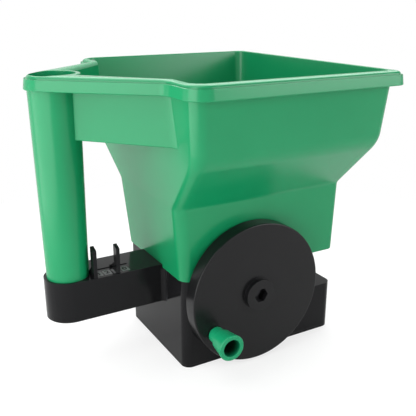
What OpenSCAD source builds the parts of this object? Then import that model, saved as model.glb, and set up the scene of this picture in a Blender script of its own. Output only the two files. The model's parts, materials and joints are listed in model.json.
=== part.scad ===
// Hand spreader: a hopper on a geared base, turned by a crank wheel.
// +X is the throwing side, -Y the crank side, +Z up.
// The origin is on the ground, under the axis of the spinning disc.

/* [Base] */
// Length of the base
base_l = 141.6; // [136:0.2:150]
// Width of the base
base_w = 102.4; // [98:0.2:112]
// From the disc's axis back to the rear face of the base
base_rear = 56; // [53:0.2:59]
// Wall of the base
base_wall = 3; // [2.4:0.1:4]
// Radius of the base's upright corners
base_corner_r = 7; // [4:0.5:7.5]
// Thickness of the deck
deck_t = 4; // [3:0.1:4.4]
// Thickness of the shelf that carries the gate
roof_t = 3; // [2:0.1:4]
// Length of the full-height part of the base, from its rear face
wing_l = 89.2; // [82:0.2:97]
// Thickness of the bottom cover
cover_t = 2.5; // [2:0.1:3.5]

/* [Hopper] */
// How far the hopper's lower box stands out past the base's sides
box_over = 0.5; // [0.2:0.1:1]
// How far the lower box stands out past the base's rear face
box_rear_over = 1.5; // [0.5:0.1:2.5]
// How far the lower box's front is set back from the base's front
box_front_in = 1.4; // [0.4:0.1:3]
// Height of the lower box
box_h = 58.6; // [52:0.2:64]
// How far the rear wall leans back over the lower box's height
box_lean = 5.7; // [4:0.1:7]
// How far the sides lean out over the lower box's height
box_draft = 2.6; // [1:0.1:4]
// Radius of the lower box's front corners
box_r = 5; // [4:0.5:9]
// Radius of the lower box's rear corners
box_rear_r = 8; // [6:0.5:10]
// Height of the sloping flare above the lower box
flare_h = 41; // [36:0.5:48]
// Width of the bin at the top of the flare
bin_w = 191; // [180:1:196]
// How far the flare's top is rounded, above and below
shoulder_soft = 7; // [4:0.5:12]
// How far the rear wall leans back from the flare to the rim
bin_lean = 3.5; // [2:0.5:6]
// How far the front wall leans out from the flare to the rim
bin_front_lean = 1.6; // [0.6:0.2:2.4]
// Width of the bin under its rim
bin_top_w = 200; // [197:1:220]
// Height of the bin's upright walls, from the flare to the rim
bin_h = 41.5; // [38:0.5:48]
// From the disc's axis to the bin's front wall under the rim
bin_front = 87.6; // [86.6:0.2:94]
// From the disc's axis to the bin's rear wall under the rim
bin_rear = 73; // [70:0.5:76]
// Radius of the bin's front corners
bin_r = 7.5; // [5:0.5:12]
// Radius of the bin's rear corners
bin_rear_r = 9; // [7:0.5:12]
// Wall of the hopper
hopper_wall = 2.5; // [1.8:0.1:3.2]
// Thickness of the hopper's floor
floor_t = 2.5; // [2:0.1:4]
// How far the rim stands out behind the bin
rim_over = 4.3; // [3.6:0.1:6]
// How far the rim stands out in front of the bin and beside it
rim_side = 6.5; // [4:0.1:8]
// Height of the rim's skirt
rim_h = 7.8; // [6:0.1:10]
// Height of the lip on the rim
lip_h = 2.4; // [2:0.1:5]
// Setback of the lip from the rim's edge
lip_in = 2.4; // [1.6:0.1:3.2]
// Radius of the rim's front corners
rim_front_r = 8; // [2:0.5:10]
// Radius of the rim's rear corners
rim_rear_r = 15; // [12:0.5:20]
// Radius of the hollow corner where the neck leaves the rim
rim_neck_r = 12; // [8:0.5:18]

/* [Handle] */
// From the disc's axis back to the axis of the handle tube
handle_x = 127.2; // [120:0.2:136]
// Outside radius of the tube at its top
tube_r_top = 17.6; // [16.5:0.1:18.5]
// Outside radius of the tube at its bottom
tube_r_bottom = 15.5; // [14:0.1:16]
// Wall of the tube
tube_wall = 2; // [1.5:0.1:2.6]
// How far the rim stands out round the tube
nose_over = 2.2; // [1.6:0.1:4]
// Angle at which the rim widens from the tube towards the bin
neck_angle = 42; // [40:0.5:44]
// Depth of the neck under the rim
neck_h = 34; // [26:0.5:38]
// Angle at which the neck's side walls spread towards the bin
neck_wall_angle = 48.4; // [46:0.2:50]
// Distance of the neck's side walls from the tube's axis
neck_wall_off = 4.2; // [3.6:0.1:6]
// Radius of the hollow corner where the neck's sides meet the bin
neck_fillet_r = 5; // [3:0.5:8]
// Web between the tube and the neck's pocket
web_t = 1.2; // [1:0.1:2]
// How far the neck runs on into the bin's rear wall
neck_reach = 12; // [10:0.5:16]

/* [Arm] */
// Width of the arm
arm_w = 35.8; // [34.6:0.1:40]
// Height of the arm
arm_h = 31.3; // [26:0.1:36]
// How far the arm's top stands above the hopper's floor line
arm_rise = 3.4; // [3.4:0.1:5]
// Wall of the arm
arm_wall = 2.5; // [2:0.1:3]
// Depth of the socket that takes the tube
socket_depth = 10; // [8:0.5:12]
// Floor of that socket
socket_floor = 3; // [2:0.1:4]
// Wall of that socket
socket_wall = 1.5; // [1.2:0.1:1.8]
// Radius of the hollow corner where the arm meets the base
arm_fillet_r = 4; // [2:0.5:6]
// Width of the slot that the gate tab slides in
slot_w = 2.1; // [1.8:0.1:3]
// Offset of the slot from the middle, towards the crank
slot_y = 3; // [2:0.1:5]
// Width of a finger tab
finger_w = 6; // [4:0.5:8]
// Height of the gate's finger tab
finger_h = 21.7; // [16:0.1:28]
// Height of the fixed finger post
post_h = 23.5; // [16:0.5:28]
// Thickness of a finger tab
finger_t = 2.8; // [2:0.1:3]
// How much lower a finger tab is at its outer edge
finger_slant = 2; // [0:0.5:4]
// Height of the web at a finger tab's foot
finger_web_h = 7; // [4:0.5:10]

/* [Gate] */
// From the tube's axis to the scale's zero, where the gate is shut
scale_offset = 40.7; // [40:0.1:46]
// Thickness of the gate plate
gate_t = 2.5; // [2:0.1:2.8]
// Width of the gate plate
gate_w = 24; // [22:0.5:25]
// Running gap round the gate
gate_gap = 0.3; // [0.2:0.05:0.4]
// Travel of the gate from one mark of its scale to the next
scale_step = 7; // [6:0.1:7]
// The mark that the gate stands at
gate_mark = 1; // [0:0.1:3]
// Length of the outlet in the hopper's floor
outlet_l = 16; // [12:0.5:18]
// Width of the outlet
outlet_w = 18; // [14:0.5:20]
// From the disc's axis back to the front edge of the outlet
outlet_front = 20; // [19:0.5:22]
// How far the shut gate laps past the outlet
gate_lap = 3; // [2:0.1:4]

/* [Crank] */
// Radius of the crank wheel
wheel_r = 56.2; // [52:0.1:60]
// Height of the wheel's lowest point above the ground
wheel_lift = 1.6; // [1:0.1:4]
// From the crank's axis up to the hopper's floor line
crank_head = 15.1; // [14.2:0.1:18]
// Clearance between the wheel's rim and the hopper's side
wheel_clear = 0.8; // [0.5:0.1:2]
// Depth of the wheel's rim
wheel_depth = 11.7; // [11.4:0.1:14]
// Thickness of the wheel's face
face_t = 4; // [3.6:0.1:4.4]
// Thickness of the wheel's rim
skirt_t = 3; // [2:0.1:4]
// Rounding of the wheel's outer edge
wheel_edge = 1.2; // [0.5:0.1:2]
// Radius of the boss on the wheel's face
boss_r = 12.5; // [10:0.5:14]
// Height of that boss
boss_h = 4; // [3.8:0.1:6]
// Radius of the hub inside the wheel
hub_r = 10; // [8:0.5:12]
// How deep the crank bolt's head lies in the boss
bolt_sink = 4.6; // [1:0.1:5]
// Inset of the internal gear's pitch circle from the wheel's edge
gear_inset = 11.2; // [10.4:0.1:12.2]
// Wall of the internal gear behind its teeth
ring_wall = 3.1; // [2:0.1:4]
// Inset of the knob's axis from the wheel's edge
knob_inset = 11.2; // [10.4:0.1:14]
// Direction of the knob from the crank's axis, from +X towards +Z
knob_angle = 212.3; // [180:0.1:360]
// Length of the knob
knob_l = 23.7; // [20:0.1:30]
// Length of the knob's neck
knob_neck_l = 7.7; // [6:0.1:9]
// Radius of the knob's neck
knob_neck_r = 6.2; // [5.6:0.1:6.8]
// Radius of the knob's body behind the flare
knob_body_r = 8; // [7.6:0.1:8.6]
// Radius of the knob at its end
knob_end_r = 10.2; // [9.4:0.1:11.5]
// Radius of the hollow at the knob's end
knob_hole_r = 6.8; // [6.2:0.1:7.4]
// Gap between the knob and the wheel's face
knob_gap = 0.3; // [0.2:0.05:0.5]

/* [Drive] */
// From the pinion's axis up to the deck
deck_rise = 19.8; // [18.5:0.1:22]
// Thickness of the bottom under the upright shaft
lower_seat_t = 4; // [3:0.1:4.6]
// Length of the bush at the upright shaft's foot
lower_bush_l = 4.5; // [3.5:0.1:5]
// Width of the bevel gears' teeth
bevel_face = 5; // [4:0.1:5.5]
// Pressure angle of the teeth
pressure_angle = 20; // [20:0.5:22]
// Backlash of the internal gear
backlash = 0.3; // [0.25:0.05:0.4]
// Backlash of the bevel gears
bevel_backlash = 0.6; // [0.5:0.05:0.8]
// Radius of the shafts
shaft_r = 3; // [2.6:0.1:3.2]
// Radial running clearance of a shaft in its bush
run_gap = 0.05; // [0.03:0.01:0.08]
// Radial clearance of pieces that are fixed together
fix_gap = 0.02; // [0.01:0.01:0.04]
// End float between turning pieces
float_gap = 0.3; // [0.2:0.05:0.4]
// Wall of a bush
bush_wall = 2; // [1.6:0.1:2.4]
// How far a bush's flange stands out
flange_w = 2; // [1.5:0.1:2.5]
// Thickness of a bush's flange
flange_t = 1.2; // [1:0.1:1.4]
// Thickness of the boss round a bush
bush_boss_t = 2.5; // [2:0.1:3]
// Length of the boss for a bush in the base's side
bush_boss_l = 4.2; // [3:0.1:4.4]
// Thickness of the post that carries the inner end of the pinion shaft
post_t = 5; // [4:0.1:6]
// From the disc's axis to that post
post_y = 22; // [21:0.1:24]

/* [Disc] */
// Gap between the spinning disc and the end of the crank bolt
disc_gap = 1; // [0.6:0.1:4]
// Thickness of the disc
disc_t = 2; // [1.6:0.1:3]
// Radius of the disc's hub
disc_hub_r = 7; // [6:0.1:8]
// Height of the disc's hub
disc_hub_h = 15; // [13:0.5:16]
// Vanes on the disc
vane_count = 6; // [4:1:8]
// Height of a vane
vane_h = 10; // [7:0.5:11]
// Thickness of a vane
vane_t = 2; // [1.5:0.1:3]
// Radius of the stirrer's hub
stir_hub_r = 8; // [7:0.1:9]
// Height of the stirrer's hub
stir_hub_h = 9; // [8:0.5:12]
// Reach of the stirrer's arms
stir_reach = 30; // [24:0.5:34]
// Thickness of the stirrer's arms
stir_arm_t = 4; // [3:0.1:5]
// Radius of the clip on the disc's shaft
clip_r = 5.2; // [4.8:0.1:6]
// Thickness of that clip
clip_t = 0.9; // [0.7:0.1:1.2]
// Depth of the groove for that clip
clip_groove = 0.5; // [0.4:0.05:0.6]

/* [Fasteners] */
// Width across the flats of the crank bolt's head and nut
bolt_flats = 10; // [9:0.1:10.5]
// Height of the crank bolt's head
bolt_head_h = 3.4; // [3:0.1:3.6]
// Thickness of the lock nut
nut_t = 5; // [4.6:0.1:5.2]
// Outside radius of the washer
washer_r = 6.5; // [6:0.1:7]
// Thickness of the washer
washer_t = 1.2; // [1:0.1:1.4]
// Radius of the pin that carries the knob
knob_pin_r = 2.5; // [2:0.1:2.6]
// Radius of that pin's head
knob_head_r = 4.4; // [4:0.1:4.8]
// Height of that pin's head
knob_head_h = 2.4; // [2:0.1:3]
// Radius of the small screws
screw_r = 1.6; // [1.4:0.1:1.8]
// Radius of a small screw's head
screw_head_r = 3.3; // [3:0.1:3.6]
// Height of a small screw's head
screw_head_h = 2.2; // [1.8:0.1:2.4]
// Length of a small screw's shank
screw_l = 13; // [10:0.5:16]
// Radius of the posts that take the screws
screw_post_r = 4.2; // [3.8:0.1:5]
// Inset of those posts from the base's outside
screw_inset = 6.6; // [6.4:0.1:7]
// Radius of the screw that holds the tube
tube_screw_r = 2; // [1.8:0.1:2.4]
// Length of that screw's shank
tube_screw_l = 14; // [12:0.5:18]

/* [Hidden] */
$fn = 64;

// Colours of the mouldings and the metal
green = [0.13, 0.52, 0.32];
black = [0.08, 0.08, 0.09];
nylon = [0.85, 0.84, 0.80];
steel = [0.66, 0.67, 0.69];

// Teeth of the internal gear in the wheel
ring_teeth = 60;

// Teeth of the pinion
pinion_teeth = 12;

// Teeth of each bevel gear
bevel_teeth = 14;

// The scale's last mark, where the gate is open
last_mark = 3;

// A cut runs this far past the faces that it opens
over = 1;
// How far the foot of the neck's side walls lies inside the bin's rear face
neck_bite = 0.3;

// Module of the gears
gear_m = 2 * (wheel_r - gear_inset) / ring_teeth;
ring_pitch = gear_m * ring_teeth / 2;
pinion_pitch = gear_m * pinion_teeth / 2;
bevel_pitch = gear_m * bevel_teeth / 2;

// Heights of the crank, its pinion, the deck and the hopper's floor line
crank_z = wheel_lift + wheel_r;
pinion_z = crank_z - (ring_pitch - pinion_pitch);
deck_z = pinion_z + deck_rise;
base_h = crank_z + crank_head;

// Heights of the hopper's sections
crease_z = base_h + box_h;
shoulder_z = crease_z + flare_h;
rim_z = shoulder_z + bin_h;
skirt_top = rim_z + rim_h;
lip_top = skirt_top + lip_h;
neck_z = rim_z - neck_h;

// Rim outline
rim_rear = bin_rear + rim_over;
rim_front = bin_front + rim_side;
rim_half_w = bin_top_w / 2 + rim_side;
nose_r = tube_r_top + nose_over;

// Where the neck's outside meets the leaning rear wall at its foot, and where it ends inside the bin
neck_foot_x = neck_bite - bin_rear + bin_lean * neck_h / bin_h;
neck_end_x = neck_reach - bin_rear;

// Base
base_front = base_l - base_rear;
base_half_w = base_w / 2;
box_half_w = base_half_w + box_over;
box_rear = base_rear + box_rear_over;
box_front = base_front - box_front_in;
wing_x = wing_l - base_rear;
deck_under = deck_z - deck_t;
gate_top = base_h - gate_gap;
gate_under = gate_top - gate_t;
roof_z = gate_under - gate_gap;
roof_under = roof_z - roof_t;
post_x_rear = base_rear - screw_inset;
post_x_front = base_front - screw_inset;
post_x_wing = wing_x - screw_inset;
post_half_y = base_half_w - screw_inset;

// Arm and tube
arm_top = base_h + arm_rise;
arm_under = arm_top - arm_h;
arm_half_w = arm_w / 2;
tube_z = arm_top - socket_depth;
tube_slope = (tube_r_top - tube_r_bottom) / (rim_z - tube_z);
tube_boss_r = tube_screw_r + 3;
socket_gap = 0.1;
finger_y = arm_half_w - 0.6;

// Gate
gate_zero_x = handle_x - scale_offset;
gate_stand_x = -gate_zero_x - gate_mark * scale_step;
gate_stem_l = finger_t + 1.2;
gate_stem_t = slot_w - 2 * gate_gap;
gate_front_x = -outlet_front + gate_lap - gate_mark * scale_step;
gate_back_x = gate_stand_x - gate_stem_l / 2 - 0.3;
outlet_rear = outlet_front + outlet_l;
slot_front_x = -gate_zero_x + gate_stem_l / 2 + 3;
slot_rear_x = -gate_zero_x - last_mark * scale_step - gate_stem_l / 2 - 0.5;
finger_post_x = slot_rear_x - finger_t / 2;
ledge_rear_x = gate_back_x - (last_mark - gate_mark) * scale_step;

// Crank, measured outwards from the middle of the base
wall_out = base_half_w;
wall_in = base_half_w - base_wall;
bush_in = wall_in - bush_boss_l;
wheel_back = box_half_w + box_draft * (crank_z + wheel_r - base_h) / box_h + wheel_clear;
wheel_front = wheel_back + wheel_depth;
face_back = wheel_front - face_t;
boss_front = wheel_front + boss_h;
hub_back = wall_out + flange_t + float_gap;
bolt_seat = boss_front - bolt_head_h - bolt_sink;
washer_out = bush_in - float_gap;
washer_in = washer_out - washer_t;
nut_in = washer_in - nut_t;
bolt_end = nut_in - 0.5;
knob_reach = wheel_r - knob_inset;
knob_x = knob_reach * cos(knob_angle);
knob_y = knob_reach * sin(knob_angle);
knob_back = wheel_front + knob_gap;
knob_front = knob_back + knob_l;
knob_seat = knob_back + knob_neck_l;
knob_pin_in = face_back + 0.4;

// Gears
ring_tip = ring_pitch - 0.6 * gear_m;
ring_root = ring_pitch + 1.25 * gear_m;
ring_r = ring_root + ring_wall;
pinion_tip = pinion_pitch + 0.9 * gear_m;
pinion_root = pinion_pitch - 1.0 * gear_m;
gear_in = wheel_back + 1.5;
pinion_in = gear_in + 0.4;
pinion_out = face_back - 0.4;
bevel_hub_r = shaft_r + 3;
disc_bevel_top = deck_under - float_gap;
drive_bevel_hub = post_y - float_gap;
bush_r = shaft_r + bush_wall;
bush_flange_r = bush_r + flange_w;
bush_boss_r = bush_r + bush_boss_t;

// Disc, its shaft and the stirrer
lower_seat = lower_seat_t;
lower_boss_top = lower_seat + lower_bush_l;
disc_r = bolt_end - disc_gap;
disc_hub_z = deck_z + flange_t + float_gap;
disc_z = disc_hub_z + 1.5;
clip_z = disc_hub_z + disc_hub_h + 0.1;
floor_top = base_h + floor_t;
stir_z = floor_top + float_gap;
shaft_top = stir_z + stir_hub_h - 1.5;
shaft_hole_r = shaft_r + 1.5;

// Points of one rounded rectangle at height z, counter-clockwise from above
function ring(x0, x1, half_w, r, rear_r, z) = [
    for (c = [[x1 - r, r - half_w, -90, r], [x1 - r, half_w - r, 0, r],
              [x0 + rear_r, half_w - rear_r, 90, rear_r], [x0 + rear_r, rear_r - half_w, 180, rear_r]])
        for (a = [0 : 15 : 90])
            [c[0] + c[3] * cos(c[2] + a), c[1] + c[3] * sin(c[2] + a), z]
];

// Solid through rings of equal length, given from the bottom up
module loft(rings) {
    n = len(rings[0]);
    top = len(rings) - 1;
    polyhedron(
        points = [for (r = rings) each r],
        faces = concat(
            [[for (i = [0 : n - 1]) i]],
            [[for (i = [n - 1 : -1 : 0]) top * n + i]],
            [for (k = [0 : top - 1], i = [0 : n - 1]) each [
                [k * n + i, k * n + n + i, k * n + n + (i + 1) % n],
                [k * n + i, k * n + n + (i + 1) % n, k * n + (i + 1) % n]
            ]]
        )
    );
}

// Arc that rounds the corner b between a and c, where b holds its radius
function corner_arc(a, b, c) =
    let (u = (a - b) / norm(a - b), v = (c - b) / norm(c - b))
    let (half = acos(u * v) / 2, m = (u + v) / norm(u + v))
    [u, v, half, m];

function round_corner(a, b, c, r) =
    let (k = corner_arc(a, b, c), o = b + k[3] * r / sin(k[2]))
    let (s = b + k[0] * r / tan(k[2]) - o, e = b + k[1] * r / tan(k[2]) - o)
    let (a0 = atan2(s[1], s[0]), turn = atan2(s[0] * e[1] - s[1] * e[0], s * e))
    let (steps = max(2, ceil(abs(turn) / 11.25)))
    [for (i = [0 : steps]) o + r * [cos(a0 + turn * i / steps), sin(a0 + turn * i / steps)]];

// Outline through corners [x, y, radius]
function round_outline(corners) =
    let (n = len(corners), xy = [for (c = corners) [c[0], c[1]]])
    [for (i = [0 : n - 1]) each round_corner(xy[(i + n - 1) % n], xy[i], xy[(i + 1) % n], corners[i][2])];

// Half-width of the rim beside the neck at x, a distance d inside its edge
function neck_half_w(x, d) = (x + handle_x + (nose_r - d) / sin(neck_angle)) * tan(neck_angle);
function nose_x(d) = -handle_x - (nose_r - d) / sin(neck_angle);

// Half-width at x between faces a distance p from the tube's axis, and the point where they would meet
function wall_half_w(x, p) = (x - wall_x(p)) * tan(neck_wall_angle);
function wall_x(p) = -handle_x - p / sin(neck_wall_angle);

// Outline of the rim, a distance d inside its edge
function rim_outline(d) =
    let (x0 = d - rim_rear, x1 = rim_front - d, w = rim_half_w - d, y = neck_half_w(x0, d))
    round_outline([
        [nose_x(d), 0, nose_r - d],
        [x0, -y, rim_neck_r + d],
        [x0, -w, rim_rear_r - d],
        [x1, -w, max(rim_front_r - d, 1)],
        [x1, w, max(rim_front_r - d, 1)],
        [x0, w, rim_rear_r - d],
        [x0, y, rim_neck_r + d]
    ]);

// Outline of the neck's outside, with a hollow corner where each side meets the bin
function neck_outline() =
    let (y = wall_half_w(neck_foot_x, neck_wall_off), w = y + neck_fillet_r)
    round_outline([
        [wall_x(neck_wall_off), 0, neck_wall_off],
        [neck_foot_x, -y, neck_fillet_r],
        [neck_foot_x, -w, 0.5],
        [neck_end_x, -w, 0.5],
        [neck_end_x, w, 0.5],
        [neck_foot_x, w, 0.5],
        [neck_foot_x, y, neck_fillet_r]
    ]);

// Outline of the neck's pocket, open to the bin
function pocket_outline() =
    let (p = neck_wall_off - hopper_wall, x = neck_end_x + hopper_wall, w = wall_half_w(x, p))
    round_outline([[wall_x(p), 0, p], [x, -w, 1], [x, w, 1]]);

// Point between p and q
function mix(p, q, t) = p + (q - p) * t;

// Soft corner q between p and s
function soft(p, q, s, t) = mix(mix(p, q, t), mix(q, s, t), t);

// Sections of the bin, a distance d inside its outside: rear, front, half-width, radii in front and behind, z
function bin_foot(d, z) =
    [d - box_rear, box_front - d, box_half_w - d, box_r - d, box_rear_r - d, z];
function bin_crease(d) =
    [d - box_rear - box_lean, box_front - d, box_half_w + box_draft - d, box_r - d, bin_rear_r - d,
     crease_z + 0.4 * d];
function bin_shoulder(d) =
    [d - bin_rear + bin_lean, bin_front - bin_front_lean - d, bin_w / 2 - d, bin_r - d, bin_rear_r - d,
     shoulder_z + 0.4 * d];
function bin_top(d, z) =
    [d - bin_rear, bin_front - d, bin_top_w / 2 - d, bin_r - d, bin_rear_r - d, z];

// Rings of the bin from z0 to z1, a distance d inside its outside
function bin_rings(d, z0, z1) =
    let (below = mix(bin_crease(d), bin_shoulder(d), 1 - shoulder_soft / flare_h))
    let (above = mix(bin_shoulder(d), bin_top(d, rim_z), shoulder_soft / bin_h))
    let (rounded = [for (t = [0 : 0.2 : 1]) soft(below, bin_shoulder(d), above, t)])
    [for (s = concat([bin_foot(d, z0), bin_crease(d)], rounded, [bin_top(d, rim_z), bin_top(d, z1)]))
        ring(s[0], s[1], s[2], s[3], s[4], s[5])];

// Radius of the tube's outside at height z
function tube_r(z) = tube_r_bottom + tube_slope * (z - tube_z);

// Box with upright rounded corners, between the given faces
module rounded_box(x0, x1, half_w, z0, z1, r) {
    translate([x0 + r, -half_w, z0])
        cube([x1 - x0 - 2 * r, 2 * half_w, z1 - z0]);
    translate([x0, r - half_w, z0])
        cube([x1 - x0, 2 * half_w - 2 * r, z1 - z0]);
    for (x = [x0 + r, x1 - r], y = [r - half_w, half_w - r])
        translate([x, y, z0])
            cylinder(r = r, h = z1 - z0);
}

// Places what is drawn along +Z so that it points out of the crank side, at height z
module crank_side(z) {
    translate([0, 0, z])
        rotate([90, 0, 0])
            children();
}

// Sleeve with a bore, from z0 to z1
module sleeve(r_out, r_in, z0, z1) {
    difference() {
        translate([0, 0, z0])
            cylinder(r = r_out, h = z1 - z0);
        translate([0, 0, z0 - over])
            cylinder(r = r_in, h = z1 - z0 + 2 * over);
    }
}

// Bush from z0 to z1 with a flange beyond z1
module flanged_bush(z0, z1) {
    difference() {
        union() {
            translate([0, 0, z0])
                cylinder(r = bush_r, h = z1 - z0);
            translate([0, 0, z1])
                cylinder(r = bush_flange_r, h = flange_t);
        }
        translate([0, 0, z0 - over])
            cylinder(r = shaft_r + run_gap, h = z1 - z0 + flange_t + 2 * over);
    }
}

// Six-sided bar of the given width across its flats
module hex_bar(flats, h) {
    cylinder(r = flats / 2 / cos(30), h = h, $fn = 6);
}

// Finger tab of height h on the arm's top, drawn round x = 0 with its foot at z = 0
module finger(foot_y, h) {
    translate([-finger_t / 2, 0, 0])
        rotate([90, 0, 90])
            linear_extrude(height = finger_t)
                polygon([
                    [-finger_y, 0],
                    [-finger_y, h - finger_slant],
                    [finger_w - finger_y, h],
                    [finger_w - finger_y, finger_web_h],
                    [foot_y, 0]
                ]);
}

// Involute helpers: half the angle of a tooth at radius r
function inv(a) = tan(a) * 180 / PI - a;
function tooth_half(r, pitch_r, half_at_pitch) =
    let (base_r = pitch_r * cos(pressure_angle))
    half_at_pitch + inv(pressure_angle) - (r > base_r ? inv(acos(base_r / r)) : 0);

// Gear outline with its first tooth pointing to -Y
function gear_outline(teeth, pitch_r, r_in, r_out, half_at_pitch) =
    let (steps = 4, rs = [for (i = [0 : steps]) r_in + (r_out - r_in) * i / steps])
    [for (t = [0 : teeth - 1]) each concat(
        [for (i = [0 : steps])
            let (a = 360 * t / teeth - 90 - tooth_half(rs[i], pitch_r, half_at_pitch))
            rs[i] * [cos(a), sin(a)]],
        [for (i = [steps : -1 : 0])
            let (a = 360 * t / teeth - 90 + tooth_half(rs[i], pitch_r, half_at_pitch))
            rs[i] * [cos(a), sin(a)]]
    )];

// Angle that a length along the pitch circle takes
function pitch_turn(length, pitch_r) = length / pitch_r * 180 / PI;

// Points of a 45 degree bevel gear's heel, with its apex at the origin and its axis up
function bevel_heel(first) =
    let (cone = bevel_pitch / cos(45))
    let (half = 90 / (bevel_teeth / cos(45)) - pitch_turn(bevel_backlash / 4, cone))
    let (rs = [for (k = [-1.15, -0.6, 0, 0.45, 0.85]) cone + k * gear_m], n = len(rs))
    [for (t = [0 : bevel_teeth - 1]) each concat(
        [for (i = [0 : n - 1])
            [rs[i], first + 360 * t / bevel_teeth - tooth_half(rs[i], cone, half) / cos(45)]],
        [for (i = [n - 1 : -1 : 0])
            [rs[i], first + 360 * t / bevel_teeth + tooth_half(rs[i], cone, half) / cos(45)]]
    )];

function bevel_ring(first, grow) = [
    for (p = bevel_heel(first))
        grow * [p[0] * cos(45) * cos(p[1]), p[0] * cos(45) * sin(p[1]), 2 * bevel_pitch - p[0] * sin(45)]
];

// Bevel gear with its teeth between toe and heel, its apex at the origin and its axis up
module bevel_teeth_body(first) {
    toe = 1 - bevel_face / (bevel_pitch / sin(45));
    heel_ring = bevel_ring(first, 1);
    toe_ring = bevel_ring(first, toe);
    n = len(heel_ring);
    root_z = 2 * bevel_pitch - (bevel_pitch / cos(45) - 1.15 * gear_m) * sin(45);
    polyhedron(
        points = concat(toe_ring, heel_ring, [[0, 0, toe * root_z], [0, 0, root_z]]),
        faces = [for (i = [0 : n - 1]) each [
            [i, n + i, n + (i + 1) % n],
            [i, n + (i + 1) % n, (i + 1) % n],
            [2 * n, i, (i + 1) % n],
            [2 * n + 1, n + (i + 1) % n, n + i]
        ]]
    );
}

// Bevel gear with a hub behind it as far as hub_end
module bevel_gear(first, hub_end) {
    difference() {
        union() {
            bevel_teeth_body(first);
            translate([0, 0, bevel_pitch])
                cylinder(r = bevel_hub_r, h = hub_end - bevel_pitch);
        }
        cylinder(r = shaft_r + fix_gap, h = hub_end + over);
    }
}

// Green moulding that holds the seed or grit: bin, neck and rim
module hopper() {
    color(green)
        difference() {
            union() {
                loft(bin_rings(0, base_h, skirt_top));
                translate([0, 0, neck_z])
                    linear_extrude(height = neck_h)
                        polygon(neck_outline());
                translate([0, 0, rim_z])
                    linear_extrude(height = rim_h)
                        polygon(rim_outline(0));
                translate([0, 0, skirt_top])
                    linear_extrude(height = lip_h)
                        polygon(rim_outline(lip_in));
            }
            loft(bin_rings(hopper_wall, floor_top, lip_top + over));
            difference() {
                translate([0, 0, neck_z + floor_t])
                    linear_extrude(height = lip_top - neck_z)
                        polygon(pocket_outline());
                translate([-handle_x, 0, neck_z])
                    cylinder(r = tube_r_top + web_t, h = lip_top);
            }
            translate([-handle_x, 0, neck_z - over])
                cylinder(r = tube_r_top - tube_wall, h = lip_top);
            translate([-handle_x, 0, tube_z])
                cylinder(r1 = tube_r_bottom + socket_gap, r2 = tube_r_top + socket_gap, h = rim_z - tube_z);
            translate([0, 0, base_h - over])
                cylinder(r = shaft_hole_r, h = floor_t + 2 * over);
            translate([-outlet_rear, -outlet_w / 2, base_h - over])
                cube([outlet_l, outlet_w, floor_t + 2 * over]);
            hopper_screw_places()
                translate([0, 0, base_h - over])
                    cylinder(r = screw_r + 0.3, h = floor_t + 2 * over);
        }
}

// Tapered hollow grip between the arm and the rim
module handle_tube() {
    color(green)
        translate([-handle_x, 0, 0])
            difference() {
                translate([0, 0, tube_z])
                    cylinder(r1 = tube_r_bottom, r2 = tube_r_top, h = rim_z - tube_z);
                difference() {
                    translate([0, 0, tube_z + socket_floor])
                        cylinder(r1 = tube_r(tube_z + socket_floor) - tube_wall, r2 = tube_r_top - tube_wall,
                                 h = rim_z - tube_z - socket_floor);
                    translate([0, 0, tube_z])
                        cylinder(r = tube_boss_r, h = tube_screw_l);
                }
                translate([0, 0, rim_z - over])
                    cylinder(r = tube_r_top - tube_wall, h = 2 * over);
                translate([0, 0, tube_z - over])
                    cylinder(r = tube_screw_r + fix_gap, h = tube_screw_l - socket_floor + over);
            }
}

// Plan of the arm, a distance d inside its outside
module arm_plan(d) {
    translate([-handle_x, 0])
        circle(r = arm_half_w - d);
    translate([-handle_x, d - arm_half_w])
        square([handle_x - base_rear, 2 * (arm_half_w - d)]);
}

// Black arm that carries the tube's foot, with the gate's slot and the fixed finger post
module handle_arm() {
    color(black)
        difference() {
            union() {
                difference() {
                    translate([0, 0, arm_under])
                        linear_extrude(height = arm_h)
                            arm_plan(0);
                    translate([0, 0, arm_under - over])
                        linear_extrude(height = arm_h - arm_wall + over)
                            arm_plan(arm_wall);
                }
                translate([-handle_x, 0, tube_z - socket_floor])
                    cylinder(r = tube_r(arm_top) + socket_gap + socket_wall,
                             h = arm_top - tube_z + socket_floor);
                for (side = [-1, 1])
                    arm_ledge(side);
                for (side = [-1, 1])
                    arm_fillet(side);
                translate([finger_post_x, 0, arm_top])
                    finger(-slot_y, post_h);
            }
            translate([-handle_x, 0, tube_z])
                cylinder(r1 = tube_r_bottom + socket_gap, r2 = tube_r(arm_top + post_h) + socket_gap,
                         h = arm_top + post_h - tube_z);
            translate([-handle_x, 0, tube_z - socket_floor - over])
                cylinder(r = tube_screw_r + 0.3, h = socket_floor + 2 * over);
            translate([slot_rear_x, -slot_y - slot_w / 2, arm_top - arm_wall - over])
                cube([slot_front_x - slot_rear_x, slot_w, arm_wall + 2 * over]);
            translate([-box_rear - box_lean * arm_rise / box_h - 0.2, -arm_w, base_h])
                cube([arm_w, 2 * arm_w, arm_rise + over]);
        }
}

// Rail inside the arm that the gate plate lies on
module arm_ledge(side) {
    translate([ledge_rear_x, side > 0 ? gate_w / 2 - 2 : -arm_half_w + arm_wall / 2, roof_under])
        cube([-base_rear - ledge_rear_x, arm_half_w - arm_wall / 2 - gate_w / 2 + 2, roof_t]);
}

// Hollow corner between the arm's side and the base
module arm_fillet(side) {
    mirror([0, side > 0 ? 0 : 1, 0])
        translate([-base_rear - arm_fillet_r, arm_half_w - over, arm_under])
            difference() {
                cube([arm_fillet_r, arm_fillet_r + over, base_h - arm_under]);
                translate([0, arm_fillet_r + over, -over])
                    cylinder(r = arm_fillet_r, h = arm_h + 2 * over);
            }
}

// Places of the screws that hold the cover
module cover_screw_places() {
    for (x = [-post_x_rear, post_x_front], y = [-post_half_y, post_half_y])
        translate([x, y, 0])
            children();
}

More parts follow.
